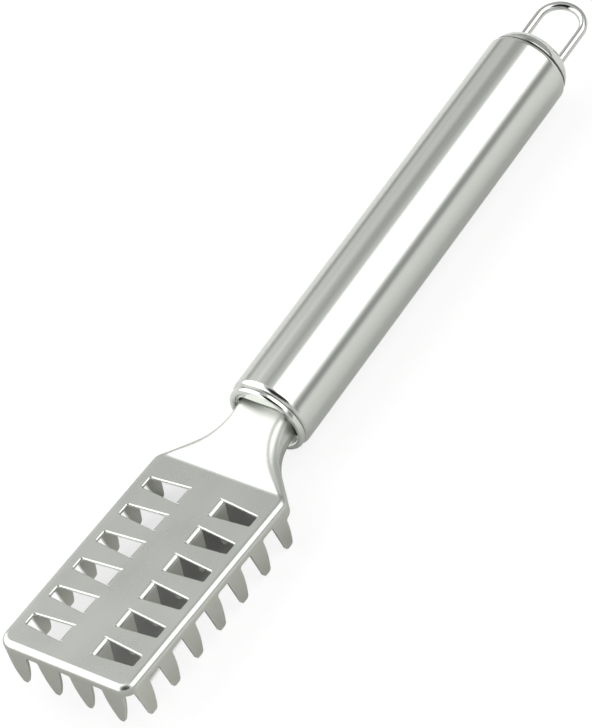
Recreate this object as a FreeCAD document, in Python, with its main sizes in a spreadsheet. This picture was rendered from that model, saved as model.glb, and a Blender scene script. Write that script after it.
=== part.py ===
import FreeCAD, Part
import math
import os
import Sketcher

# Fish scaler in stainless steel, 208 mm long, modelled as it lies on a table.
# Y runs along the handle towards the hanging loop, X to the right of the head, Z up.
# The origin is on the table, in the middle of the object's length and width. The tube lies on the
# table along its whole length and the head tips up in front, with the rearmost skirt teeth
# touching the table.

doc = FreeCAD.newDocument("fish_scaler")
NEAR = 0.01

# Driving dimensions, millimetres and degrees
SIZES = [
    # stamped head
    ("sheet", 0.7, "thickness of the head's sheet"),
    ("head_length", 59.3, "front edge to the crease where the neck starts"),
    ("head_width", 36.1, "over both side skirts"),
    ("head_tilt", 5.2, "angle of the head's plate to the handle"),
    ("crease_bend", 2.5, "top radius of the bend at the crease"),
    ("skirt_bend", 1.5, "outer radius where the skirt is folded down"),
    ("front_corner", 3.4, "plan radius of the front corners"),
    ("back_corner", 3.5, "plan radius of the back corners"),
    ("back_corner_setback", 1.9, "start of the back corner's curve, ahead of the crease"),
    ("shoulder_turn", 45.0, "angle of the shoulders to the long sides"),
    ("neck_sweep", 14.0, "radius of the hollow curve into the neck"),
    ("neck_width", 13.6, "over the neck's side walls"),
    ("neck_straight", 1.85, "straight part of the neck in front of the tube"),
    ("neck_entry", 4.25, "neck's top above the handle's axis, where it enters the tube"),
    ("neck_roll", 2.0, "outer radius along the neck's long edges"),
    ("neck_wall_depth", 4.0, "depth of the wall under the crease"),
    ("tang_length", 2.0, "tang behind the front end of the tube"),
    # teeth of the skirt
    ("tooth_depth", 11.4, "plate's top to the tips"),
    ("side_tooth_count", 7, "teeth on each long side"),
    ("root_depth", 2.45, "plate's top to the gaps' roots"),
    ("side_tooth_first", 4.4, "front edge to the middle of the first tooth"),
    ("side_tooth_last", 4.4, "middle of the last tooth to the crease"),
    ("side_tooth_width", 4.5, "width of a side tooth at its root"),
    ("side_tip_width", 2.2, "width of a side tooth at its tip"),
    ("side_tooth_rake", 0.7, "tip behind the middle of its root"),
    ("side_edge_radius", 24.0, "bulge of a side tooth's back edge"),
    ("front_tooth_count", 4, "teeth on the front edge, an even number"),
    ("front_notch", 2.15, "side of the head to the outermost front tooth"),
    ("front_tooth_width", 5.5, "width of a front tooth at its root"),
    ("front_tip_width", 1.2, "width of a front tooth at its tip"),
    ("front_edge_radius", 22.0, "bulge of a front tooth's edges"),
    ("root_radius", 0.6, "rounding in the corners of the gaps"),
    ("tip_radius", 0.85, "rounding of the skirt teeth's tips"),
    # windows and the teeth bent out of them
    ("window_count", 6, "windows in each column"),
    ("window_first", 8.2, "front edge to the middle of the first window"),
    ("window_last", 8.4, "middle of the last window to the crease"),
    ("window_margin", 3.4, "side of the head to a window's narrow end"),
    ("window_length", 10.7, "narrow end to the wide end, where the tooth is bent"),
    ("window_wide", 5.0, "width at the wide end"),
    ("window_narrow", 3.1, "width at the narrow end"),
    ("window_corner", 0.4, "rounding at the narrow end"),
    ("window_edge", 0.2, "bevel of the windows' top edges"),
    ("lance_bend", 1.1, "outer radius of the bent teeth"),
    ("lance_slit", 0.1, "gap at each side of a bent tooth"),
    ("lance_tip_radius", 0.9, "rounding of a bent tooth's tip"),
    # handle tube
    ("tube_diameter", 20.0, "outside of the handle"),
    ("tube_length", 109.3, "over the turned-in ends"),
    ("tube_wall", 0.8, "wall of the handle"),
    ("tube_roll", 1.3, "outer radius of the turned-in ends"),
    ("tube_mouth", 8.4, "radius of the openings in the ends"),
    # front collar
    ("bead_radius", 9.55, "outer radius of the collar's bead"),
    ("bead_length", 1.6, "bead in front of the tube"),
    ("bead_heel", 0.4, "rounding of the bead's back edge"),
    ("bead_width", 1.55, "bead's outside to the recess, rounded in front"),
    ("recess_depth", 1.1, "bead's front to the recessed face"),
    ("collar_wall", 0.5, "recessed face and spigot of the collar"),
    ("spigot_length", 5.0, "spigots inside the tube"),
    ("spigot_clearance", 0.1, "gap between a spigot and the tube's mouth"),
    ("slot_clearance", 0.35, "gap round the tang in the recessed face"),
    # rear cap
    ("cap_wall", 0.8, "wall of the rear cap"),
    ("cap_length", 4.6, "cap behind the tube"),
    ("cap_flat", 4.1, "radius of the cap's flat end"),
    ("cap_shoulder", 5.5, "radius of the cap's rounded edge"),
    ("cap_heel", 0.3, "rounding of the cap's edge beside the tube"),
    # hanging loop
    ("wire_diameter", 2.0, "wire of the loop"),
    ("loop_width", 10.9, "between the middles of the legs"),
    ("loop_length", 15.6, "loop behind the cap"),
    ("leg_depth", 4.0, "legs inside the cap's end face"),
    ("leg_clearance", 0.05, "gap round the legs in the cap"),
    ("loop_turn", 12.6, "turn of the loop about the handle's axis"),
]

sheet = doc.addObject("Spreadsheet::Sheet", "sizes")
for row, (alias, value, note) in enumerate(SIZES, start=1):
    sheet.set(f"A{row}", alias)
    sheet.set(f"B{row}", str(value))
    sheet.set(f"C{row}", note)
    sheet.setAlias(f"B{row}", alias)
doc.recompute()


def size(formula):
    """Present value of a formula in which <name> stands for a driving dimension."""
    return float(sheet.evalExpression(formula.replace("<", "").replace(">", "")))


def bind(obj, prop, formula):
    """Bind a property to a formula in which <name> stands for a driving dimension."""
    obj.setExpression(prop, formula.replace("<", "sizes.").replace(">", ""))


def origin_item(body, role):
    return [item for item in body.Origin.OriginFeatures if item.Role == role][0]


# Directions in a sketch, in degrees
RIGHT, UP, LEFT, DOWN = 0, 90, 180, 270
QUARTER = 90


class Outline:
    """A sketch on one of a body's own planes, drawn as lines and arcs with driven dimensions.

    A formula that places an item also gives the place where it is first drawn.
    """

    def __init__(self, body, name, plane, offset=None):
        self.sketch = body.newObject("Sketcher::SketchObject", name)
        self.sketch.AttachmentSupport = [(origin_item(body, plane), "")]
        self.sketch.MapMode = "FlatFace"
        if offset:
            bind(self.sketch, ".AttachmentOffset.Base.z", offset)

    def line(self, start, end):
        first, last = FreeCAD.Vector(*start, 0), FreeCAD.Vector(*end, 0)
        return self.sketch.addGeometry(Part.LineSegment(first, last), False)

    def arc(self, centre, radius, first, last):
        """Arc drawn counter-clockwise from first to last, in degrees, with its radius driven."""
        circle = Part.Circle(FreeCAD.Vector(*centre, 0), FreeCAD.Vector(0, 0, 1), size(radius))
        curve = Part.ArcOfCircle(circle, math.radians(first), math.radians(last))
        item = self.sketch.addGeometry(curve, False)
        self.drive("Radius", item, size(radius), to=radius)
        return item

    def circle(self, across, up, radius):
        centre = FreeCAD.Vector(size(across), size(up), 0)
        curve = Part.Circle(centre, FreeCAD.Vector(0, 0, 1), size(radius))
        item = self.sketch.addGeometry(curve, False)
        self.place(item, 3, across, up)
        self.drive("Radius", item, size(radius), to=radius)
        return item

    def bulge(self, start, end, radius):
        """Arc that runs counter-clockwise from start to end."""
        value = size(radius)
        chord_x, chord_y = end[0] - start[0], end[1] - start[1]
        chord = math.hypot(chord_x, chord_y)
        height = math.sqrt(value**2 - chord**2 / 4) / chord
        centre = ((start[0] + end[0]) / 2 - chord_y * height, (start[1] + end[1]) / 2 + chord_x * height)
        return self.arc(centre, radius, bearing(centre, start), bearing(centre, end))

    def polygon(self, points, bulges={}, hollows={}):
        """Closed outline through points given as formulas.

        A side is named by the number of its first point. A side in bulges is an arc of that
        radius that turns left, and one in hollows is an arc that turns right.
        """
        spots = [(size(across), size(up)) for across, up in points]
        items = []
        ends = []
        for i, start in enumerate(spots):
            end = spots[(i + 1) % len(spots)]
            if i in bulges:
                items.append(self.bulge(start, end, bulges[i]))
            elif i in hollows:
                items.append(self.bulge(end, start, hollows[i]))
            else:
                items.append(self.line(start, end))
            ends.append((2, 1) if i in hollows else (1, 2))
        for i, item in enumerate(items):
            after = (i + 1) % len(items)
            self.fix("Coincident", item, ends[i][1], items[after], ends[after][0])
            self.place(item, ends[i][0], *points[i])

    def fix(self, kind, *items):
        return self.sketch.addConstraint(Sketcher.Constraint(kind, *items))

    def drive(self, kind, *items, to):
        """Add a dimension and bind it to a formula."""
        dimension = self.fix(kind, *items)
        bind(self.sketch, f"Constraints[{dimension}]", to)

    def place(self, item, point, across=None, up=None):
        """Hold a point at driven distances from the sketch's origin."""
        if across == "0":
            self.fix("PointOnObject", item, point, -2)
        elif across:
            self.drive("DistanceX", -1, 1, item, point, size(across), to=across)
        if up == "0":
            self.fix("PointOnObject", item, point, -1)
        elif up:
            self.drive("DistanceY", -1, 1, item, point, size(up), to=up)

    def chain(self, *joints):
        """Join the ends of items. A joint is (kind, item, end, item, end)."""
        for kind, first, first_end, second, second_end in joints:
            self.fix(kind, first, first_end, second, second_end)


def bearing(centre, spot):
    return math.degrees(math.atan2(spot[1] - centre[1], spot[0] - centre[0]))


def feature(body, kind, name, outline, **settings):
    made = body.newObject("PartDesign::" + kind, name)
    made.Profile = outline.sketch
    for key, value in settings.items():
        setattr(made, key, value)
    return made


def repeat(body, name, originals, role, count, spacing):
    """Row of copies along one of the body's axes."""
    row = body.newObject("PartDesign::LinearPattern", name)
    row.Originals = originals
    row.Direction = (origin_item(body, role), [""])
    row.Mode = "Spacing"
    bind(row, "Offset", spacing)
    bind(row, "Occurrences", count)
    body.Tip = row
    return row


def edges_where(base, rule):
    """Edges of a feature for which rule(middle of edge, its direction) is true."""
    doc.recompute()
    found = []
    for number, edge in enumerate(base.Shape.Edges, start=1):
        halfway = (edge.FirstParameter + edge.LastParameter) / 2
        if rule(edge.valueAt(halfway), edge.tangentAt(halfway)):
            found.append(f"Edge{number}")
    return base, found


def rounded(body, name, base, radius, rule):
    made = body.newObject("PartDesign::Fillet", name)
    made.Base = edges_where(base, rule)
    bind(made, "Radius", radius)
    return made


# Stamped head. Its own frame has its origin on the plate's top, in the middle of the crease, with
# the plate in the XY plane. The right half is made and then mirrored.
form = doc.addObject("PartDesign::Body", "head_form")

# Places along the plan of the right half: the shoulder runs from the back corner to the hollow
# curve, which runs into the straight neck
BACK_END_X = "(<head_width> / 2 - <back_corner> * (1 - cos(<shoulder_turn> * 1 deg)))"
BACK_END_Y = "(<back_corner> * sin(<shoulder_turn> * 1 deg) - <back_corner_setback>)"
SWEEP_X = "(<neck_width> / 2 + <neck_sweep> * (1 - cos(<shoulder_turn> * 1 deg)))"
SWEEP_Y = f"({BACK_END_Y} + ({BACK_END_X} - {SWEEP_X}) / tan(<shoulder_turn> * 1 deg))"
NECK_Y = f"({SWEEP_Y} + <neck_sweep> * sin(<shoulder_turn> * 1 deg))"
TUBE_Y = f"({NECK_Y} + <neck_straight>)"
TANG_END = f"({TUBE_Y} + <tang_length>)"

# Rows of teeth. The front teeth stand between the two notches at the front corners.
SIDE_TOOTH = "(-<head_length> + <side_tooth_first>)"
SIDE_LAST = "(-<side_tooth_last>)"
SIDE_PITCH = ("((<head_length> - <side_tooth_first> - <side_tooth_last>)"
              " / (<side_tooth_count> - 1))")
FRONT_ROOT = "(<head_width> / 2 - <front_notch>)"
FRONT_PITCH = f"((2 * {FRONT_ROOT} - <front_tooth_width>) / (<front_tooth_count> - 1))"

# The head lies tipped up in front, on its rearmost skirt teeth. The lowest point of such a tooth
# is on the rounding of its back corner, about three quarters of the radius ahead of the edge.
TIP_EDGE = f"({SIDE_LAST} + <side_tooth_rake> + <side_tip_width> / 2)"
HEAD_HEIGHT = (f"((<tooth_depth> - <tip_radius>) * cos(<head_tilt> * 1 deg) + <tip_radius>"
               f" + ({TIP_EDGE} - 0.75 * <tip_radius>) * sin(<head_tilt> * 1 deg))")
# The neck rises from the crease to its entry into the tube
NECK_CLIMB = f"(<tube_diameter> / 2 + <neck_entry> - {HEAD_HEIGHT})"
NECK_RISE = f"(<head_tilt> * 1 deg + atan({NECK_CLIMB} / {TUBE_Y}))"

HALF = size("<head_width> / 2")
LENGTH = size("<head_length>")
NECK = size("<neck_width> / 2")
TURN = size("<shoulder_turn>")
FRONT_R = size("<front_corner>")
BACK_R = size("<back_corner>")
SWEEP_R = size("<neck_sweep>")
TANG_Y = size(TANG_END)

# Plan of the right half: front edge, front corner, long side, back corner, shoulder, hollow
# curve and neck
plan = Outline(form, "plan", "XY_Plane")
back_y = -size("<back_corner_setback>")
back_end = (size(BACK_END_X), size(BACK_END_Y))
sweep_start = (size(SWEEP_X), size(SWEEP_Y))
neck_y = size(NECK_Y)
front = plan.line((0, -LENGTH), (HALF - FRONT_R, -LENGTH))
corner = plan.arc((HALF - FRONT_R, -LENGTH + FRONT_R), "<front_corner>", DOWN, DOWN + QUARTER)
side = plan.line((HALF, -LENGTH + FRONT_R), (HALF, back_y))
back = plan.arc((HALF - BACK_R, back_y), "<back_corner>", RIGHT, TURN)
shoulder = plan.line(back_end, sweep_start)
sweep = plan.arc((NECK + SWEEP_R, neck_y), "<neck_sweep>", LEFT, LEFT + TURN)
neck = plan.line((NECK, neck_y), (NECK, TANG_Y))
end = plan.line((NECK, TANG_Y), (0, TANG_Y))
middle = plan.line((0, TANG_Y), (0, -LENGTH))
plan.chain(
    ("Tangent", front, 2, corner, 1),
    ("Tangent", corner, 2, side, 1),
    ("Tangent", side, 2, back, 1),
    ("Tangent", back, 2, shoulder, 1),
    ("Tangent", shoulder, 2, sweep, 2),
    ("Tangent", sweep, 1, neck, 1),
    ("Coincident", neck, 2, end, 1),
    ("Coincident", end, 2, middle, 1),
    ("Coincident", middle, 2, front, 1),
)
plan.fix("Horizontal", front)
plan.fix("Vertical", side)
plan.fix("Vertical", neck)
plan.fix("Horizontal", end)
plan.place(front, 1, across="0", up="-<head_length>")
plan.place(side, 1, across="<head_width> / 2")
plan.place(back, 3, up="-<back_corner_setback>")
plan.place(neck, 1, across="<neck_width> / 2")
plan.place(end, 2, across="0", up=TANG_END)
plan.drive("Angle", back, math.radians(TURN), to="<shoulder_turn> * 1 deg")
blank = feature(form, "Pad", "blank", plan, SideType="Two sides")
bind(blank, "Length", f"{TANG_END} * tan({NECK_RISE}) + <sheet>")
bind(blank, "Length2", "<tooth_depth>")

# Side view of what lies above the sheet: flat over the plate, a bend at the crease, then the
# rising neck
crown = Outline(form, "crown", "YZ_Plane")
rise = math.radians(size(NECK_RISE))
bend_y = f"-<crease_bend> * tan({NECK_RISE} / 2)"
top = size("<tooth_depth>")
past = LENGTH + top
bend_r = size("<crease_bend>")
bend_end = (size(bend_y) + bend_r * math.sin(rise), bend_r * (1 - math.cos(rise)))
reach = TANG_Y + top
flat = crown.line((-past, 0), (size(bend_y), 0))
bend = crown.arc((size(bend_y), bend_r), "<crease_bend>", DOWN, DOWN + math.degrees(rise))
slope = crown.line(bend_end, (reach, reach * math.tan(rise)))
rear = crown.line((reach, reach * math.tan(rise)), (reach, past))
over = crown.line((reach, past), (-past, past))
ahead = crown.line((-past, past), (-past, 0))
crown.chain(
    ("Tangent", flat, 2, bend, 1),
    ("Tangent", bend, 2, slope, 1),
    ("Coincident", slope, 2, rear, 1),
    ("Coincident", rear, 2, over, 1),
    ("Coincident", over, 2, ahead, 1),
    ("Coincident", ahead, 2, flat, 1),
)
crown.fix("Horizontal", flat)
crown.fix("Vertical", rear)
crown.fix("Horizontal", over)
crown.fix("Vertical", ahead)
crown.place(bend, 3, across=bend_y, up="<crease_bend>")
crown.place(flat, 1, across="-<head_length> - <tooth_depth>")
crown.place(rear, 2, across=f"{TANG_END} + <tooth_depth>")
crown.place(over, 2, up="<head_length> + <tooth_depth>")
crown.drive("Angle", bend, rise, to=NECK_RISE)
feature(form, "Pocket", "pressed_top", crown, Type="ThroughAll", Reversed=True)
doc.recompute()


def roll_radius(spot):
    """The rim is folded tightly round the plate and rolled wider along the shoulder to the neck."""
    tight, wide = size("<skirt_bend>"), size("<neck_roll>")
    share = (spot.y - back_end[1]) / (sweep_start[1] - back_end[1])
    return tight + (wide - tight) * min(max(share, 0), 1)


def rim_edges(shape):
    """Edges where the top meets the outer wall, with the radius at both ends of each."""
    found = []
    for number, edge in enumerate(shape.Edges, start=1):
        spot = edge.valueAt((edge.FirstParameter + edge.LastParameter) / 2)
        upright = []
        for face in shape.ancestorsOfType(edge, Part.Face):
            u, v = face.Surface.parameter(spot)
            upright.append(abs(face.normalAt(u, v).z))
        on_middle = abs(spot.x) < NEAR
        on_end = abs(spot.y - TANG_Y) < NEAR
        if min(upright) < 0.01 and max(upright) > 0.9 and spot.z > -1 and not (on_middle or on_end):
            ends = edge.valueAt(edge.FirstParameter), edge.valueAt(edge.LastParameter)
            found.append((number, roll_radius(ends[0]), roll_radius(ends[1])))
    return found


# The skirt is folded down all round, and the sheet has the same thickness throughout
folded = doc.addObject("Part::Fillet", "folded_rim")
folded.Base = form
folded.Edges = rim_edges(form.Shape)
head = doc.addObject("PartDesign::Body", "scaler_head")
head.Label = "scaler_head"
head.BaseFeature = folded
doc.recompute()
solid_form = head.Group[0]


def open_faces(shape):
    """Faces that the sheet does not cover: underneath, the tang's end and the middle plane."""
    found = []
    for number, face in enumerate(shape.Faces, start=1):
        box = face.BoundBox
        under = box.ZMax < -size("<tooth_depth>") + NEAR
        at_end = box.YMin > TANG_Y - NEAR
        at_middle = box.XMax < NEAR
        if under or at_end or at_middle:
            found.append(f"Face{number}")
    return found


shell = head.newObject("PartDesign::Thickness", "sheet_metal")
shell.Base = (solid_form, open_faces(solid_form.Shape))
shell.Reversed = True
bind(shell, "Value", "<sheet>")
doc.recompute()

# Gaps of the skirt. Each cut takes the gap between two teeth, so a row of cuts leaves a row of
# teeth. A tooth's edge can bulge, and its tip can stand behind the middle of its root.
def gap_points(middle, pitch, width, tip, rake):
    left = f"{middle} - {pitch} / 2 + {rake} + {tip} / 2"
    right = f"{middle} + {pitch} / 2 + {rake} - {tip} / 2"
    return [
        (left, "-<tooth_depth>"),
        (f"{middle} - ({pitch} - {width}) / 2", "-<root_depth>"),
        (f"{middle} + ({pitch} - {width}) / 2", "-<root_depth>"),
        (right, "-<tooth_depth>"),
        (right, "-<tooth_depth> * 1.2"),
        (left, "-<tooth_depth> * 1.2"),
    ]


# Side teeth: straight in front, bulging behind. The first gap is the notch at the front corner,
# which starts at the outermost front tooth's root.
side_gap = Outline(head, "side_gap", "YZ_Plane", FRONT_ROOT)
side_gap.polygon(gap_points(
    f"({SIDE_TOOTH} - {SIDE_PITCH} / 2)", SIDE_PITCH, "<side_tooth_width>",
    "<side_tip_width>", "<side_tooth_rake>"), {0: "<side_edge_radius>"})
side_cut = feature(head, "Pocket", "side_gap_cut", side_gap, Type="ThroughAll", Reversed=True)
side_row = repeat(head, "side_teeth", [side_cut], "Y_Axis", "<side_tooth_count>", SIDE_PITCH)

# Behind the last side tooth the wall ends in a line parallel to the handle, as far as the tang
WALL = "-<neck_wall_depth> + ({}) * tan(<head_tilt> * 1 deg)"
wall_start = f"{SIDE_LAST} + <side_tooth_width> / 2"
wall_end = f"{TANG_END} + <sheet>"
tail = Outline(head, "tail", "YZ_Plane")
tail.polygon([
    (TIP_EDGE, "-<tooth_depth>"),
    (wall_start, WALL.format(wall_start)),
    (wall_end, WALL.format(wall_end)),
    (wall_end, "-<tooth_depth> * 1.2"),
    (TIP_EDGE, "-<tooth_depth> * 1.2"),
], {0: "<side_edge_radius>"})
tail_cut = feature(head, "Pocket", "tail_cut", tail, Type="ThroughAll", Reversed=True)

# Front teeth: both edges bulge. The first gap is the one in the middle.
front_gap = Outline(head, "front_gap", "XZ_Plane",
                    "<head_length> - <side_tooth_first> + <side_tooth_width> / 2")
front_gap.polygon(gap_points(
    "0", FRONT_PITCH, "<front_tooth_width>", "<front_tip_width>", "0"),
    {0: "<front_edge_radius>", 2: "<front_edge_radius>"})
front_cut = feature(head, "Pocket", "front_gap_cut", front_gap, Type="ThroughAll", Reversed=True)
front_row = repeat(head, "front_teeth", [front_cut], "X_Axis", "<front_tooth_count> / 2 + 1",
                   FRONT_PITCH)

SIDE_WALL = size("<head_width> / 2 - 2 * <sheet>")


def tip_corner(spot, way):
    """Edge across the sheet at the end of a skirt tooth."""
    across_side = abs(way.x) > 0.99 and spot.x > SIDE_WALL
    across_front = abs(way.y) > 0.99 and spot.x < SIDE_WALL
    return abs(spot.z + size("<tooth_depth>")) < NEAR and (across_side or across_front)


def root_corner(spot, way):
    """Edge across the sheet in a corner of a gap, but not round the front corner's notch."""
    if abs(way.x) > 0.99 and spot.x > SIDE_WALL:
        level = abs(spot.z + size("<root_depth>")) < NEAR
        tail_level = abs(spot.z - size(WALL.format(wall_start))) < NEAR
        return (level or tail_level) and spot.y > size(SIDE_TOOTH)
    in_front_wall = abs(way.y) > 0.99 and NEAR < spot.x < size(FRONT_ROOT) - NEAR
    return in_front_wall and abs(spot.z + size("<root_depth>")) < NEAR


tips = rounded(head, "rounded_tips", front_row, "<tip_radius>", tip_corner)
roots = rounded(head, "rounded_roots", tips, "<root_radius>", root_corner)

# One column of windows, pierced on three sides. The wide end is where the tooth is bent down.
FIRST_WINDOW = "<head_length> - <window_first>"
WINDOW_PITCH = "(<head_length> - <window_first> - <window_last>) / (<window_count> - 1)"
WINDOW_OUTER = "(<head_width> / 2 - <window_margin>)"
WINDOW_INNER = f"({WINDOW_OUTER} - <window_length>)"
window = Outline(head, "window", "XY_Plane")
window.polygon([
    (WINDOW_INNER, f"-({FIRST_WINDOW}) - <window_wide> / 2"),
    (WINDOW_OUTER, f"-({FIRST_WINDOW}) - <window_narrow> / 2"),
    (WINDOW_OUTER, f"-({FIRST_WINDOW}) + <window_narrow> / 2"),
    (WINDOW_INNER, f"-({FIRST_WINDOW}) + <window_wide> / 2"),
])
window_cut = feature(head, "Pocket", "window_cut", window, Type="ThroughAll")
window_row = repeat(head, "windows", [window_cut], "Y_Axis", "<window_count>", WINDOW_PITCH)
OUTER_END = size(WINDOW_OUTER)
INNER_END = size(WINDOW_INNER)
window_ends = rounded(
    head, "window_ends", window_row, "<window_corner>",
    lambda spot, way: abs(way.z) > 0.99 and abs(spot.x - OUTER_END) < NEAR)
window_edges = head.newObject("PartDesign::Chamfer", "window_edges")
window_edges.Base = edges_where(
    window_ends,
    lambda spot, way: abs(spot.z) < NEAR and abs(way.z) < NEAR
    and INNER_END + NEAR < spot.x < OUTER_END + NEAR and -LENGTH + NEAR < spot.y < -NEAR)
bind(window_edges, "Size", "<window_edge>")

# Teeth lanced out of the windows: a bend, then a leg that tapers as its window does
tooth_bend = Outline(head, "tooth_bend", "XZ_Plane", FIRST_WINDOW)
bend_centre = (INNER_END, -size("<lance_bend>"))
outer_r = size("<lance_bend>")
inner_r = size("<lance_bend> - <sheet>")
outside = tooth_bend.arc(bend_centre, "<lance_bend>", RIGHT, UP)
start = tooth_bend.line((INNER_END, 0), (INNER_END, bend_centre[1] + inner_r))
inside = tooth_bend.arc(bend_centre, "<lance_bend> - <sheet>", RIGHT, UP)
foot = tooth_bend.line((INNER_END + inner_r, bend_centre[1]), (INNER_END + outer_r, bend_centre[1]))
tooth_bend.chain(
    ("Coincident", outside, 2, start, 1),
    ("Coincident", start, 2, inside, 2),
    ("Coincident", inside, 1, foot, 1),
    ("Coincident", foot, 2, outside, 1),
    ("Coincident", outside, 3, inside, 3),
)
tooth_bend.fix("Vertical", start)
tooth_bend.fix("Horizontal", foot)
tooth_bend.place(outside, 3, across=WINDOW_INNER, up="-<lance_bend>")
bent = feature(head, "Pad", "lanced_bend", tooth_bend, SideType="Symmetric")
bind(bent, "Length", "<window_wide> - 2 * <lance_slit>")

LEG_END = "(<lance_bend> + <window_length> - pi / 2 * (<lance_bend> - <sheet> / 2))"
tooth_leg = Outline(head, "tooth_leg", "YZ_Plane", f"{WINDOW_INNER} + <lance_bend> - <sheet>")
tooth_leg.polygon([
    (f"-({FIRST_WINDOW}) - <window_wide> / 2 + <lance_slit>", "-<lance_bend>"),
    (f"-({FIRST_WINDOW}) - <window_narrow> / 2 + <lance_slit>", f"-{LEG_END}"),
    (f"-({FIRST_WINDOW}) + <window_narrow> / 2 - <lance_slit>", f"-{LEG_END}"),
    (f"-({FIRST_WINDOW}) + <window_wide> / 2 - <lance_slit>", "-<lance_bend>"),
])
leg = feature(head, "Pad", "lanced_leg", tooth_leg)
bind(leg, "Length", "<sheet>")
lanced_row = repeat(head, "lanced_teeth", [bent, leg], "Y_Axis", "<window_count>", WINDOW_PITCH)
LEG_TIP = -size(LEG_END)
lanced_tips = rounded(
    head, "lanced_tips", lanced_row, "<lance_tip_radius>",
    lambda spot, way: abs(way.x) > 0.99 and abs(spot.z - LEG_TIP) < NEAR
    and spot.x < size(f"{WINDOW_INNER} + <lance_bend>"))

whole = head.newObject("PartDesign::Mirrored", "both_halves")
whole.Originals = [lanced_tips]
whole.TransformMode = "Whole shape"
whole.MirrorPlane = (origin_item(head, "YZ_Plane"), [""])
head.Tip = whole

# The front end of the tube stands where the middle of the whole length, from the tips of the front
# teeth to the end of the loop, falls on the origin.
TUBE_FRONT = (f"({TUBE_Y} + <head_length> * cos(<head_tilt> * 1 deg)"
              " + <tooth_depth> * sin(<head_tilt> * 1 deg)"
              " - <tube_length> - <cap_length> - <loop_length>) / 2")
head.Placement.Rotation = FreeCAD.Rotation(FreeCAD.Vector(-1, 0, 0), 1)
bind(head, ".Placement.Base.y", f"{TUBE_FRONT} - {TUBE_Y}")
bind(head, ".Placement.Base.z", HEAD_HEIGHT)
bind(head, ".Placement.Rotation.Angle", "<head_tilt> * 1 deg")
doc.recompute()


def turned(body, name, outline):
    """Solid of revolution about the body's own Y axis."""
    made = feature(body, "Revolution", name, outline)
    made.ReferenceAxis = (origin_item(body, "Y_Axis"), [""])
    made.Angle = 360
    return made


# Handle: a tube whose ends are turned in. Its own Y axis is the handle's axis.
tube = doc.addObject("PartDesign::Body", "handle_tube")
tube.Label = "handle_tube"
OUTSIDE = "<tube_diameter> / 2"
wall = Outline(tube, "wall", "XY_Plane")
wall.polygon([
    (OUTSIDE, "<tube_roll>"),
    (OUTSIDE, "<tube_length> - <tube_roll>"),
    (f"{OUTSIDE} - <tube_roll>", "<tube_length>"),
    ("<tube_mouth>", "<tube_length>"),
    ("<tube_mouth>", "<tube_length> - <tube_wall>"),
    (f"{OUTSIDE} - <tube_roll>", "<tube_length> - <tube_wall>"),
    (f"{OUTSIDE} - <tube_wall>", "<tube_length> - <tube_roll>"),
    (f"{OUTSIDE} - <tube_wall>", "<tube_roll>"),
    (f"{OUTSIDE} - <tube_roll>", "<tube_wall>"),
    ("<tube_mouth>", "<tube_wall>"),
    ("<tube_mouth>", "0"),
    (f"{OUTSIDE} - <tube_roll>", "0"),
], {1: "<tube_roll>", 11: "<tube_roll>"},
    {5: "<tube_roll> - <tube_wall>", 7: "<tube_roll> - <tube_wall>"})
turned(tube, "turned_wall", wall)
bind(tube, ".Placement.Base.y", TUBE_FRONT)
bind(tube, ".Placement.Base.z", OUTSIDE)

# Front collar: a round bead in front of the tube, a recessed face inside the bead and a spigot
# inside the tube. The tang passes through a slot in the recessed face.
collar = doc.addObject("PartDesign::Body", "front_collar")
collar.Label = "front_collar"
SPIGOT = "<tube_mouth> - <spigot_clearance>"
BEAD_MIDDLE = "<bead_radius> - <bead_width> / 2"
BEAD_SIDE = "-<bead_length> + <bead_width> / 2"
RECESS = "-<bead_length> + <recess_depth>"
ring = Outline(collar, "ring", "XY_Plane")
ring.polygon([
    ("<bead_radius>", BEAD_SIDE),
    ("<bead_radius>", "-<bead_heel>"),
    ("<bead_radius> - <bead_heel>", "0"),
    (SPIGOT, "0"),
    (SPIGOT, "<spigot_length>"),
    (f"{SPIGOT} - <collar_wall>", "<spigot_length>"),
    (f"{SPIGOT} - <collar_wall>", f"{RECESS} + <collar_wall>"),
    ("0", f"{RECESS} + <collar_wall>"),
    ("0", RECESS),
    ("<bead_radius> - <bead_width>", RECESS),
    ("<bead_radius> - <bead_width>", BEAD_SIDE),
    (BEAD_MIDDLE, "-<bead_length>"),
], {1: "<bead_heel>", 10: "<bead_width> / 2", 11: "<bead_width> / 2"})
turned(collar, "turned_ring", ring)

NECK_FOOT = f"({HEAD_HEIGHT} - {OUTSIDE} - <neck_wall_depth> * cos(<head_tilt> * 1 deg))"
slot = Outline(collar, "slot", "XZ_Plane")
SLOT_SIDE = "(<neck_width> / 2 + <slot_clearance>)"
SLOT_ROUND = "(<neck_roll> + <slot_clearance>)"
SLOT_TOP = "(<neck_entry> + <slot_clearance>)"
SLOT_FOOT = f"{NECK_FOOT} - <slot_clearance>"
slot.polygon([
    (SLOT_SIDE, SLOT_FOOT),
    (SLOT_SIDE, f"{SLOT_TOP} - {SLOT_ROUND}"),
    (f"{SLOT_SIDE} - {SLOT_ROUND}", SLOT_TOP),
    (f"-{SLOT_SIDE} + {SLOT_ROUND}", SLOT_TOP),
    (f"-{SLOT_SIDE}", f"{SLOT_TOP} - {SLOT_ROUND}"),
    (f"-{SLOT_SIDE}", SLOT_FOOT),
], {1: SLOT_ROUND, 3: SLOT_ROUND})
slot_cut = feature(collar, "Pocket", "slot_cut", slot, Type="ThroughAll", Midplane=True)
bind(collar, ".Placement.Base.y", TUBE_FRONT)
bind(collar, ".Placement.Base.z", OUTSIDE)

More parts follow.
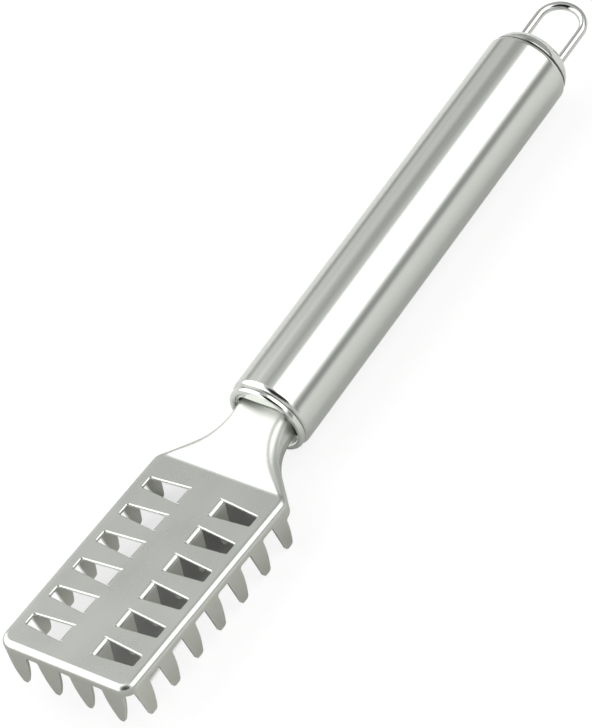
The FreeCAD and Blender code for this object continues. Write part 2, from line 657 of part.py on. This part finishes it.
# Rear cap: a hollow rounded cap behind the tube, with a spigot inside the tube and two holes for
# the legs of the loop. It is turned with the loop about the handle's axis.
cap = doc.addObject("PartDesign::Body", "rear_cap")
cap.Label = "rear_cap"
SHOULDER_UP = "(<cap_length> - <cap_shoulder>)"
CAP_HOLLOW = f"({SPIGOT} - <cap_wall>)"
CAP_EDGE = f"<cap_flat> + sqrt(<cap_shoulder>^2 - {SHOULDER_UP}^2)"
HOLLOW_EDGE = (f"{SHOULDER_UP} + sqrt((<cap_shoulder> - <cap_wall>)^2"
               f" - ({CAP_HOLLOW} - <cap_flat>)^2)")
dome = Outline(cap, "dome", "XY_Plane")
dome.polygon([
    (CAP_EDGE, "0"),
    ("<cap_flat>", "<cap_length>"),
    ("0", "<cap_length>"),
    ("0", "<cap_length> - <cap_wall>"),
    ("<cap_flat>", "<cap_length> - <cap_wall>"),
    (CAP_HOLLOW, HOLLOW_EDGE),
    (CAP_HOLLOW, "-<spigot_length>"),
    (SPIGOT, "-<spigot_length>"),
    (SPIGOT, "0"),
], {0: "<cap_shoulder>"}, {4: "<cap_shoulder> - <cap_wall>"})
domed = turned(cap, "turned_dome", dome)
HEEL_R = size(CAP_EDGE)
heel = rounded(
    cap, "rounded_heel", domed, "<cap_heel>",
    lambda spot, way: abs(spot.y) < NEAR and abs(math.hypot(spot.x, spot.z) - HEEL_R) < NEAR)
holes = Outline(cap, "leg_holes", "XZ_Plane")
for hand in ("-", ""):
    holes.circle(f"{hand}<loop_width> / 2", "0", "<wire_diameter> / 2 + <leg_clearance>")
feature(cap, "Pocket", "leg_holes_cut", holes, Type="ThroughAll")
bind(cap, ".Placement.Base.y", f"{TUBE_FRONT} + <tube_length>")
bind(cap, ".Placement.Base.z", OUTSIDE)

# Hanging loop: one round wire bent to a half circle with two straight legs
loop = doc.addObject("PartDesign::Body", "hanging_loop")
loop.Label = "hanging_loop"
LOOP_R = size("<loop_width> / 2")
CROWN_Y = "<loop_length> - <loop_width> / 2 - <wire_diameter> / 2"
path = Outline(loop, "wire_path", "XY_Plane")
leg_up = path.line((LOOP_R, -size("<leg_depth>")), (LOOP_R, size(CROWN_Y)))
half_turn = path.arc((0, size(CROWN_Y)), "<loop_width> / 2", RIGHT, LEFT)
leg_down = path.line((-LOOP_R, size(CROWN_Y)), (-LOOP_R, -size("<leg_depth>")))
path.chain(
    ("Tangent", leg_up, 2, half_turn, 1),
    ("Tangent", half_turn, 2, leg_down, 1),
)
path.fix("Vertical", leg_up)
path.fix("Vertical", leg_down)
path.place(half_turn, 3, across="0", up=CROWN_Y)
path.place(leg_up, 1, up="-<leg_depth>")
path.place(leg_down, 2, up="-<leg_depth>")
section = Outline(loop, "wire_section", "XZ_Plane", "<leg_depth>")
section.circle("<loop_width> / 2", "0", "<wire_diameter> / 2")
wire = feature(loop, "AdditivePipe", "bent_wire", section)
wire.Spine = path.sketch
bind(loop, ".Placement.Base.y", f"{TUBE_FRONT} + <tube_length> + <cap_length>")
bind(loop, ".Placement.Base.z", OUTSIDE)
for body in (cap, loop):
    body.Placement.Rotation = FreeCAD.Rotation(FreeCAD.Vector(0, 1, 0), 1)
    bind(body, ".Placement.Rotation.Angle", "<loop_turn> * 1 deg")
doc.recompute()

bodies = [head, tube, collar, cap, loop]
for item in doc.Objects:
    if "Invalid" in item.State or "Error" in item.State:
        raise RuntimeError(f"{item.Name} failed: {item.State}")
for body in bodies:
    if body.Shape.isNull() or not body.Shape.isValid() or len(body.Shape.Solids) != 1:
        raise RuntimeError(f"{body.Label} is not one valid solid")

os.makedirs("parts", exist_ok=True)
for body in bodies:
    body.Shape.exportStep(f"parts/{body.Label}.step")
    box = body.Shape.BoundBox
    print(f"{body.Label}: {body.Shape.Volume:.1f} mm3, x {box.XMin:.2f} to {box.XMax:.2f},"
          f" y {box.YMin:.2f} to {box.YMax:.2f}, z {box.ZMin:.2f} to {box.ZMax:.2f}")
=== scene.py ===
import math

import bpy
from mathutils import Matrix, Vector

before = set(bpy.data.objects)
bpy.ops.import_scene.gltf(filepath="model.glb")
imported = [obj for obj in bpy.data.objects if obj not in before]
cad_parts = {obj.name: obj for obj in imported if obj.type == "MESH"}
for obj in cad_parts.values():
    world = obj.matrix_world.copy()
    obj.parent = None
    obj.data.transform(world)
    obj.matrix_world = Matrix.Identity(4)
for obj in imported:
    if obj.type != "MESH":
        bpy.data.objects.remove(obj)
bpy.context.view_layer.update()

scene = bpy.context.scene
scene.view_settings.view_transform = "Standard"


# Camera: the photograph's view, with the scaler lying from the lower left to the upper right.
# The lens is long, because the photograph shows hardly any perspective.
CAMERA_PLACE = Vector((0.536485, -0.440224, 0.735206))
CAMERA_RIGHT = Vector((0.796845, 0.538892, -0.273191))
CAMERA_DOWN = Vector((0.273411, -0.724847, -0.632332))
FOCAL_LENGTH = 225.34
SENSOR = 36

lens = bpy.data.cameras.new("photo_lens")
lens.lens = FOCAL_LENGTH
lens.sensor_width = SENSOR
camera = bpy.data.objects.new("photo_camera", lens)
scene.collection.objects.link(camera)
turned = Matrix((CAMERA_RIGHT, -CAMERA_DOWN, -CAMERA_RIGHT.cross(CAMERA_DOWN))).transposed()
camera.matrix_world = Matrix.Translation(CAMERA_PLACE) @ turned.to_4x4()
scene.camera = camera


# Stamped head: one piece of stainless sheet, pierced, bent and folded down into a toothed skirt.
# It is tumbled to a fine matt finish. The skirt is rougher than the plate and its colour darker.
# The cut walls carry a painted highlight, and the edges are lighter, partly from wear and partly
# as a painted highlight.
HEAD_TILT = math.radians(5.2)
PLATE_UP = (0, math.sin(HEAD_TILT), math.cos(HEAD_TILT))
CREASE = (0, -0.04393, 0.011063)
SHEET = 0.0007
STEEL = (0.60, 0.615, 0.585)
STEEL_SHADE = (0.51, 0.525, 0.50)
SKIRT = (0.51, 0.515, 0.475)
# Near white: painted highlight on the cut walls, and on the edges together with their wear.
EDGE_WEAR_AND_HIGHLIGHT = (0.88, 0.89, 0.87)
RIM_WEAR = 0.00016
NECK_WEAR = 0.0010
NECK_START = 0.004
DENT_HEIGHT = 0.000006


class Reading:
    """What one socket gives, so that a finish can be written as sums of such readings."""

    def __init__(self, nodes, socket):
        self.nodes = nodes
        self.socket = socket

    def maths(self, operation, first, second):
        return self.nodes.node("ShaderNodeMath", {"operation": operation}, {0: first, 1: second})

    def __add__(self, other):
        return self.maths("ADD", self, other)

    def __sub__(self, other):
        return self.maths("SUBTRACT", self, other)

    def __rsub__(self, other):
        return self.maths("SUBTRACT", other, self)

    def __mul__(self, other):
        return self.maths("MULTIPLY", self, other)

    __radd__ = __add__
    __rmul__ = __mul__


class Nodes:
    """The nodes of one finish or of the room's light."""

    def __init__(self, tree):
        self.tree = tree

    def node(self, kind, settings={}, values={}, out=0):
        """Add a node: its settings first, then the values or links of its sockets."""
        made = self.tree.nodes.new(kind)
        for key, value in settings.items():
            setattr(made, key, value)
        for key, value in values.items():
            self.feed(find_socket(made.inputs, key), value)
        return Reading(self, find_socket(made.outputs, out))

    def feed(self, socket, value):
        if isinstance(value, Reading):
            self.tree.links.new(value.socket, socket)
        else:
            socket.default_value = value

    def step(self, value, low, high):
        """Smooth step from 0 at low to 1 at high."""
        return self.node("ShaderNodeMapRange", {"interpolation_type": "SMOOTHSTEP"},
                         {"Value": value, "From Min": low, "From Max": high})

    def dot(self, vector, direction):
        return self.node("ShaderNodeVectorMath", {"operation": "DOT_PRODUCT"},
                         {0: vector, 1: direction}, "Value")


class Finish(Nodes):
    """A surface finish, built on one Principled shader."""

    def __init__(self, name, metallic=1.0):
        self.material = bpy.data.materials.new(name)
        self.material.use_nodes = True
        super().__init__(self.material.node_tree)
        self.shader = self.tree.nodes["Principled BSDF"]
        self.shader.inputs["Metallic"].default_value = metallic

    def drive(self, **inputs):
        """Feed the shader: names are its sockets' names with _ for a space."""
        for key, value in inputs.items():
            self.feed(self.shader.inputs[key.replace("_", " ")], value)

    def spot(self):
        return self.node("ShaderNodeTexCoord", {}, {}, "Object")

    def facing(self):
        return self.node("ShaderNodeNewGeometry", {}, {}, "Normal")

    def noise(self, scale, detail=2.0):
        """Noise on the object's own coordinates, with so many grains a metre along each axis."""
        stretched = self.node("ShaderNodeMapping", {}, {"Vector": self.spot(), "Scale": scale})
        return self.node("ShaderNodeTexNoise", {},
                         {"Vector": stretched, "Scale": 1.0, "Detail": detail}, "Fac")

    def blend(self, first, second, factor):
        return self.node("ShaderNodeMix", {"data_type": "RGBA"},
                         {"Factor_Float": factor, "A_Color": first, "B_Color": second},
                         "Result_Color")

    def rounded(self, radius):
        """Normals that turn over the edges as if they were rounded."""
        return self.node("ShaderNodeBevel", {"samples": 6}, {"Radius": radius})

    def relief(self, height, distance, strength, over=None):
        values = {"Height": height, "Distance": distance, "Strength": strength}
        if over:
            values["Normal"] = over
        return self.node("ShaderNodeBump", {}, values, "Normal")


def find_socket(sockets, key):
    """The socket with this number, identifier or name."""
    if isinstance(key, int):
        return sockets[key]
    return next(s for s in sockets if key in (s.identifier, s.name))


def opaque(colour):
    return (*colour, 1)


matt = Finish("head_steel")
neck = matt.step(matt.dot(matt.spot(), (0, 1, 0)), CREASE[1], CREASE[1] + NECK_START)
plate = 1 - neck
turned_normal = matt.rounded(RIM_WEAR + neck * NECK_WEAR)
# Edges, found from the rounded normals: lighter from wear and from a painted highlight.
edge_wear_and_highlight = plate * matt.step(matt.dot(turned_normal, matt.facing()), 0.995, 0.90)
cloudy = matt.noise((110, 70, 110), detail=4)
grain = matt.noise((5200, 3600, 5200))
rolled = matt.noise((3800, 90, 3800))
level = matt.dot(matt.spot(), PLATE_UP) - Vector(CREASE).dot(PLATE_UP)
upright = 1 - matt.step(matt.dot(matt.facing(), PLATE_UP), 0.25, 0.40)
skirt = matt.step(level, -0.5 * SHEET, -3.5 * SHEET)
# Upright walls at and above the plate, such as the windows' cut walls: painted highlight.
cut_wall_highlight = upright * matt.step(level, -1.3 * SHEET, -1.1 * SHEET)
steel = matt.blend(opaque(STEEL_SHADE), opaque(STEEL), cloudy * 0.9 + grain * 0.08 + rolled * 0.2)
# The skirt's colour is set darker than the plate's.
steel = matt.blend(steel, opaque(SKIRT), skirt * (0.6 + cloudy * 0.5))
matt.drive(
    # Base colour goes towards white on the edges (wear and painted highlight) and on the cut walls
    # (painted highlight).
    Base_Color=matt.blend(steel, opaque(EDGE_WEAR_AND_HIGHLIGHT), 0.8 * edge_wear_and_highlight + 0.7 * cut_wall_highlight),
    Roughness=(0.24 + grain * 0.01 + cloudy * 0.07 + skirt * plate * 0.05 + neck * 0.10
               - edge_wear_and_highlight * 0.10),
    Normal=matt.relief(rolled * 0.5 + cloudy * 0.5, DENT_HEIGHT, 0.3, turned_normal),
)
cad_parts["scaler_head"].data.materials[0] = matt.material


# Handle: a drawn stainless tube with both ends turned in. It is brushed along its length, so that
# what it reflects is drawn out into lengthwise streaks.
BRUSHED = (0.65, 0.665, 0.64)
BRUSHED_SHADE = (0.56, 0.575, 0.55)
MOUTH_WEAR = 0.00012
BRUSH_DEPTH = 0.000004

satin = Finish("handle_steel")
turned_normal = satin.rounded(MOUTH_WEAR)
streak = satin.noise((2600, 14, 2600), detail=3)
wide_streak = satin.noise((420, 5, 420))
satin.drive(
    Base_Color=satin.blend(opaque(BRUSHED_SHADE), opaque(BRUSHED),
                           streak * 0.5 + wide_streak * 0.7 + 0.05),
    Roughness=0.11 + streak * 0.08 + wide_streak * 0.05,
    Normal=satin.relief(streak, BRUSH_DEPTH, 0.5, turned_normal),
)
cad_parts["handle_tube"].data.materials[0] = satin.material


# Front collar: a turned stainless ring pressed into the front of the tube, with a rounded bead
# and a recessed face that the head's tang passes through. The bead is polished.
POLISHED = (0.68, 0.69, 0.67)
TURNED_WEAR = 0.0001
TURNED_DEPTH = 0.000003

bright = Finish("collar_steel")
turned_normal = bright.rounded(TURNED_WEAR)
cloudy = bright.noise((700, 700, 700), detail=3)
bright.drive(
    Base_Color=bright.blend(opaque(BRUSHED), opaque(POLISHED), cloudy),
    Roughness=0.06 + cloudy * 0.06,
    Normal=bright.relief(cloudy, TURNED_DEPTH, 0.3, turned_normal),
)
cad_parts["front_collar"].data.materials[0] = bright.material


# Rear cap: a domed stainless cap pressed into the back of the tube, with two holes for the loop's
# legs. It is polished with fine turning marks round the handle's axis, and the small rounding
# that faces the tube is painted dark as shade.
# Painted shade for the small rounding where the cap meets the tube.
JOINT_SHADE = (0.16, 0.165, 0.155)

capped = Finish("cap_steel")
turned_normal = capped.rounded(TURNED_WEAR)
mark = capped.noise((60, 3000, 60))
# The rounding that faces the tube, towards the front: painted shade.
joint_shade_mask = capped.step(capped.dot(capped.facing(), (0, -1, 0)), 0.02, 0.25)
steel = capped.blend(opaque(BRUSHED_SHADE), opaque(POLISHED), 0.4 + mark * 0.6)
capped.drive(
    Base_Color=capped.blend(steel, opaque(JOINT_SHADE), joint_shade_mask),
    Roughness=0.10 + mark * 0.08,
    Normal=capped.relief(mark, TURNED_DEPTH, 0.4, turned_normal),
)
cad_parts["rear_cap"].data.materials[0] = capped.material


# Hanging loop: one round stainless wire bent to a half circle, drawn smooth and bright, with its
# two legs fixed in the cap.
WIRE = (0.62, 0.63, 0.62)
DRAWN_DEPTH = 0.000002

drawn = Finish("loop_steel")
along = drawn.noise((1800, 160, 1800))
drawn.drive(
    Base_Color=drawn.blend(opaque(BRUSHED_SHADE), opaque(WIRE), along),
    Roughness=0.04 + along * 0.06,
    Normal=drawn.relief(along, DRAWN_DEPTH, 0.3),
)
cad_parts["hanging_loop"].data.materials[0] = drawn.material


# Table: white and matt, and far larger than the view. Only the camera sees it glow, up to the
# photograph's white. Under the head it doesn't glow, and next to the head it glows a little less: a
# painted shadow, so that the windows keep their depth.
TABLE = (0.75, 0.75, 0.74)
# Painted shade: the table's colour in front of the head, seen in the head's reflections.
TABLE_FRONT_SHADE = (0.53, 0.53, 0.52)
TABLE_SEEN = (0.16, 0.16, 0.16)
# Colour of the painted shadow under the head, as the camera sees it.
SHADOW_UNDER_HEAD = (0.29, 0.29, 0.29)
BLACK = (0, 0, 0)
GLOW = (0.84, 0.84, 0.84)
# How much glow the painted shadow next to the head takes away.
SHADOW_BESIDE_HEAD = 0.2
TABLE_HALF = 2.5


def between(value, rise_from, rise_to, fall_from, fall_to):
    """1 between the rise and the fall, and 0 outside them."""
    nodes = value.nodes
    return nodes.step(value, rise_from, rise_to) * nodes.step(value, fall_to, fall_from)


white = Finish("table_white", metallic=0.0)
seen = white.node("ShaderNodeLightPath", {}, {}, "Is Camera Ray")
place_x, place_y = (white.dot(white.spot(), axis) for axis in ((1, 0, 0), (0, 1, 0)))
head_length = between(place_y, -0.094, -0.091, -0.040, -0.036)
# Painted shadow under the head and, fainter, next to it, seen through the windows.
painted_shadow_under = between(place_x, -0.011, -0.008, 0.008, 0.010) * head_length
painted_shadow_next_to_head = between(place_x, -0.026, -0.020, -0.011, -0.008) * head_length
# Darker in front of the head: painted shade, which the head's front skirt reflects.
front_shade_mask = white.step(place_y, -0.099, -0.108)
colour = white.blend(opaque(TABLE), opaque(TABLE_FRONT_SHADE), front_shade_mask)
colour_seen = white.blend(opaque(TABLE_SEEN), opaque(SHADOW_UNDER_HEAD), painted_shadow_under)
# Glow for the camera, less where the painted shadow lies.
glowing = seen * (1 - painted_shadow_under - SHADOW_BESIDE_HEAD * painted_shadow_next_to_head)
white.drive(
    Base_Color=white.blend(colour, colour_seen, seen),
    Roughness=0.9,
    Specular_IOR_Level=0.1,
    Emission_Color=white.blend(opaque(BLACK), opaque(GLOW), glowing),
    Emission_Strength=1.0,
)
mesh = bpy.data.meshes.new("table")
mesh.from_pydata([(x * TABLE_HALF, y * TABLE_HALF, 0)
                  for x, y in ((-1, -1), (1, -1), (1, 1), (-1, 1))], [], [(0, 1, 2, 3)])
mesh.materials.append(white.material)
table = bpy.data.objects.new("table", mesh)
scene.collection.objects.link(table)


# Studio: a pale room with two large soft boxes hung along the handle, a grey strip and dark
# screens. They draw the bands that polished steel shows. Turns are degrees about the handle's
# axis, from straight up towards the right, and x, y and z are parts of the unit direction.
ROOM = 0.74
SOFT_BOX = 2.6
TINT = (0.995, 1.0, 0.985)
BOX_SLANT = 14

world = bpy.data.worlds.new("studio")
world.use_nodes = True
studio = Nodes(world.node_tree)
towards = studio.node("ShaderNodeTexCoord", {}, {}, "Generated")
x, y, z = (studio.dot(towards, axis) for axis in ((1, 0, 0), (0, 1, 0), (0, 0, 1)))
turn = studio.node("ShaderNodeMath", {"operation": "ARCTAN2"}, {0: x, 1: z}) * math.degrees(1)

slant = BOX_SLANT * (1 - studio.step(y, 0.15, 0.40))
right_box = (studio.step(turn - slant, -1, 9) * studio.step(turn, 72, 55)
             * between(y, -0.60, -0.48, 0.64, 0.80))
left_box = between(turn, -90, -78, -24, -14) * between(y, -0.97, -0.93, 0.30, 0.42)
grey_strip = between(turn, -44, -28, -18, -3) * between(y, 0.26, 0.40, 0.9, 0.98)
back_screen = studio.step(y, 0.72, 0.90)
right_screen = between(turn, 68, 75, 82, 91) * between(y, -0.4, -0.2, 0.9, 0.98)
left_screen = between(turn, -110, -95, -80, -70) * between(y, 0.1, 0.3, 0.95, 1.0)
front_screen = (between(x, -0.20, -0.08, 0.76, 0.84) * studio.step(y, 0.02, -0.10)
                * studio.step(z, 0.34, 0.46))

light = ROOM + right_box * (SOFT_BOX - ROOM) + left_box * (SOFT_BOX - ROOM)
for darkness, screen in ((0.38, grey_strip), (0.35, back_screen), (0.50, right_screen),
                         (0.40, left_screen), (0.98, front_screen)):
    light = light * (1 - darkness * screen)
background = world.node_tree.nodes["Background"]
background.inputs["Color"].default_value = opaque(TINT)
studio.feed(background.inputs["Strength"], light)
scene.world = world
